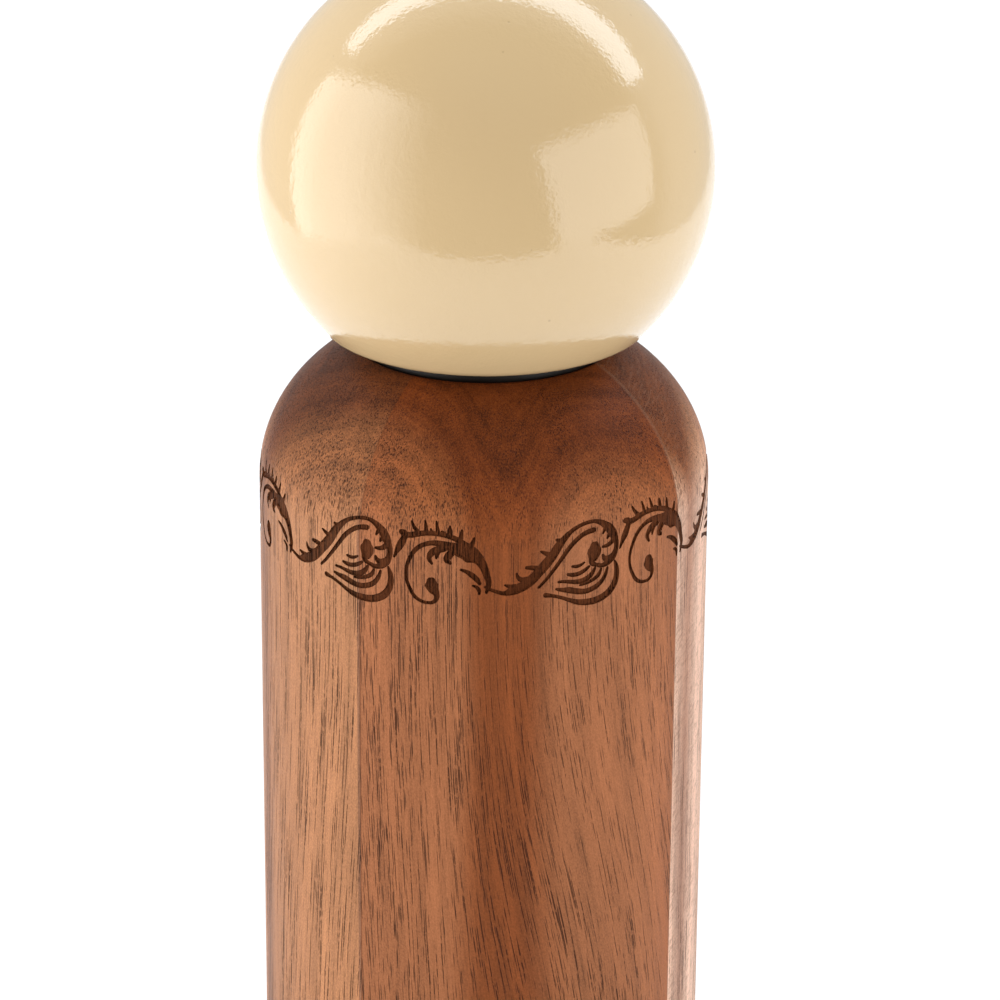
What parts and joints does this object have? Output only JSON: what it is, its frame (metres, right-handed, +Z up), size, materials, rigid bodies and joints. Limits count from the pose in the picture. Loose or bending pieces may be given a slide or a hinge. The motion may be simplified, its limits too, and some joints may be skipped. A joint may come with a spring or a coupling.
{
  "type": "pepper mill",
  "caption": "Wooden pepper mill whose cream-lacquered ball head turns a square shaft and a height-adjustable ceramic burr inside a round-shouldered wooden body.",
  "frame": {"origin": "on the table, at the centre of the mill's base", "axes": "+Z up along the mill's axis, which the head turns about; -Y is the front that the picture faces; +X to the right"},
  "size_m": [0.062, 0.062, 0.225],
  "materials": {
    "oiled_wood": "oiled satin",
    "cream_lacquer": "gloss lacquer",
    "black_plastic": "moulded satin",
    "white_plastic": "satin",
    "ceramic": "matt fired",
    "brushed_steel": "brushed",
    "spring_steel": "bright",
    "screw_steel": "plated",
    "brass": "machined",
    "rubber": "matt"
  },
  "bodies": {
    "mill_body": {"body_shell": "oiled_wood", "collar_bush": "black_plastic", "grinder_housing": "black_plastic", "shaft_bush": "white_plastic", "outer_burr": "ceramic", "burr_retainer": "black_plastic", "base_plate": "brushed_steel", "base_screw_1": "screw_steel", "base_screw_2": "screw_steel", "base_screw_3": "screw_steel"},
    "drive": {"drive_shaft": "brushed_steel", "shaft_circlip": "spring_steel", "spring_washer": "brushed_steel", "burr_spring": "spring_steel", "end_clip": "spring_steel"},
    "rotor": {"burr_carrier": "black_plastic", "inner_burr": "ceramic", "thrust_washer": "white_plastic"},
    "adjuster": {"adjuster_knob": "black_plastic", "thread_insert": "brass"},
    "head": {"head_ball": "cream_lacquer", "head_insert": "black_plastic", "spigot_oring": "rubber", "shaft_clip": "spring_steel", "insert_screw_1": "screw_steel", "insert_screw_2": "screw_steel", "insert_screw_3": "screw_steel"}
  },
  "joints": [
    {"name": "grind_turn", "type": "hinge", "parent": "mill_body", "child": "drive", "pos_m": [0, 0, 0.034], "axis": [0, 0, 1], "continuous": true},
    {"name": "burr_lift", "type": "slide", "parent": "drive", "child": "rotor", "axis": [0, 0, 1], "range_m": [0, 0.001], "deforming": ["burr_spring"]},
    {"name": "adjust_turn", "type": "hinge", "parent": "rotor", "child": "adjuster", "pos_m": [0, 0, 0.005], "axis": [0, 0, 1], "range_deg": [0, 360]},
    {"name": "head_lift", "type": "slide", "parent": "drive", "child": "head", "axis": [0, 0, 1], "range_m": [0, 0.045]}
  ],
  "couplings": [
    {"joint": "adjust_turn", "follows": "burr_lift", "rad_per_m": 6283.2}
  ]
}
